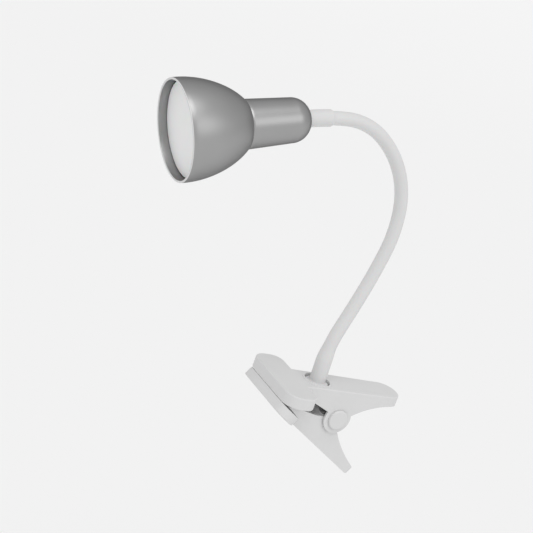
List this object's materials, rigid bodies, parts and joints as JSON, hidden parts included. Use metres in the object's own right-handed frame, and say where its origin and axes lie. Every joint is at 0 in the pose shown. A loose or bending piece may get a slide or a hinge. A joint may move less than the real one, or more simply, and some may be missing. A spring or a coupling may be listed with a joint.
{
  "type": "clip-on reading lamp",
  "caption": "Clip-on reading lamp: a bell shade on a bendable gooseneck that rises from a sprung two-jaw clamp with rounded handles",
  "frame": {"origin": "middle of the upper jaw pad's grip face, where the top of a shelf edge would sit", "axes": "-Z points out of the upper pad's grip face, the jaws point to -X and the handles to +X, and the lamp is mirror symmetric about y = 0"},
  "size_m": [0.2843, 0.079, 0.2946],
  "materials": {
    "white_plastic": "satin moulded plastic, near white",
    "head_coat": "satin coat, mid grey with a light metallic look",
    "grip_rubber": "soft moulded rubber, light grey",
    "neck_skin": "smooth satin flexible sleeve",
    "spring_steel": "drawn wire",
    "plated_steel": "zinc plated",
    "hose_steel": "wound steel strip",
    "lead_sheath": "flexible insulation",
    "opal_diffuser": "opal, unlit, fine matte",
    "reflector_white": "glossy white",
    "board_white": "white solder mask on aluminium",
    "led_phosphor": "yellow phosphor",
    "sink_aluminium": "die cast",
    "board_green": "glass fibre board",
    "driver_black": "moulded",
    "capacitor_can": "sleeved can",
    "clear_film": "thin insulating film"
  },
  "bodies": {
    "clip": {"upper_lever": "white_plastic", "upper_jaw_pad": "grip_rubber", "pivot_pin": "white_plastic", "pivot_cap": "white_plastic", "torsion_spring": "spring_steel", "cord_bush": "grip_rubber", "neck_base_sleeve": "neck_skin", "base_ferrule": "plated_steel", "base_washer": "plated_steel", "base_nut": "plated_steel", "lead_in_clip": "lead_sheath"},
    "jaw": {"lower_lever": "white_plastic", "lower_jaw_pad": "grip_rubber", "spring_lower_leg": "spring_steel"},
    "link_1": {"neck_sheath_1": "neck_skin", "neck_hose_1": "hose_steel", "neck_lead_1": "lead_sheath"},
    "link_2": {"neck_sheath_2": "neck_skin", "neck_hose_2": "hose_steel", "neck_lead_2": "lead_sheath"},
    "link_3": {"neck_sheath_3": "neck_skin", "neck_hose_3": "hose_steel", "neck_lead_3": "lead_sheath"},
    "link_4": {"neck_sheath_4": "neck_skin", "neck_hose_4": "hose_steel", "neck_lead_4": "lead_sheath"},
    "link_5": {"neck_sheath_5": "neck_skin", "neck_hose_5": "hose_steel", "neck_lead_5": "lead_sheath"},
    "link_6": {"neck_sheath_6": "neck_skin", "neck_hose_6": "hose_steel", "neck_lead_6": "lead_sheath"},
    "link_7": {"neck_sheath_7": "neck_skin", "neck_hose_7": "hose_steel", "neck_lead_7": "lead_sheath"},
    "head": {"neck_head_sleeve": "neck_skin", "neck_hose_head": "hose_steel", "lead_in_head": "lead_sheath", "head_ferrule": "plated_steel", "head_washer": "plated_steel", "head_nut": "plated_steel", "neck_housing": "head_coat", "shade": "head_coat", "diffuser": "opal_diffuser", "reflector": "reflector_white", "led_board": "board_white", "led_chips": "led_phosphor", "heat_sink": "sink_aluminium", "board_screws": "plated_steel", "driver_board": "board_green", "driver_transformer": "driver_black", "driver_capacitor": "capacitor_can", "driver_chips": "driver_black", "driver_sleeve": "clear_film", "led_wires": "lead_sheath"}
  },
  "joints": [
    {"name": "jaw_pivot", "type": "hinge", "parent": "clip", "child": "jaw", "pos_m": [0.0522, 0, -0.01575], "axis": [0, -1, 0], "range_deg": [0, 35], "stiffness_Nm_per_rad": 0.6, "springref_deg": -91.67},
    {"name": "neck_bend_1", "type": "hinge", "parent": "clip", "child": "link_1", "pos_m": [0.02891, 0, 0.02289], "axis": [0, 1, 0], "range_deg": [-20, 28]},
    {"name": "neck_sway_2", "type": "hinge", "parent": "link_1", "child": "link_2", "pos_m": [0.03197, 0, 0.05791], "axis": [-0.9703, 0, 0.2419], "range_deg": [-22, 22]},
    {"name": "neck_bend_3", "type": "hinge", "parent": "link_2", "child": "link_3", "pos_m": [0.03991, 0, 0.0923], "axis": [0, 1, 0], "range_deg": [-20, 28]},
    {"name": "neck_sway_4", "type": "hinge", "parent": "link_3", "child": "link_4", "pos_m": [0.04573, 0, 0.12711], "axis": [-0.9925, 0, 0.1219], "range_deg": [-22, 22]},
    {"name": "neck_bend_5", "type": "hinge", "parent": "link_4", "child": "link_5", "pos_m": [0.0442, 0, 0.16221], "axis": [0, 1, 0], "range_deg": [-20, 28]},
    {"name": "neck_sway_6", "type": "hinge", "parent": "link_5", "child": "link_6", "pos_m": [0.02941, 0, 0.19393], "axis": [-0.788, 0, -0.6157], "range_deg": [-22, 22]},
    {"name": "neck_bend_7", "type": "hinge", "parent": "link_6", "child": "link_7", "pos_m": [0.00257, 0, 0.21646], "axis": [0, 1, 0], "range_deg": [-20, 28]},
    {"name": "neck_sway_8", "type": "hinge", "parent": "link_7", "child": "head", "pos_m": [-0.03162, 0, 0.22264], "axis": [0.1305, 0, -0.9914], "range_deg": [-22, 22]}
  ]
}
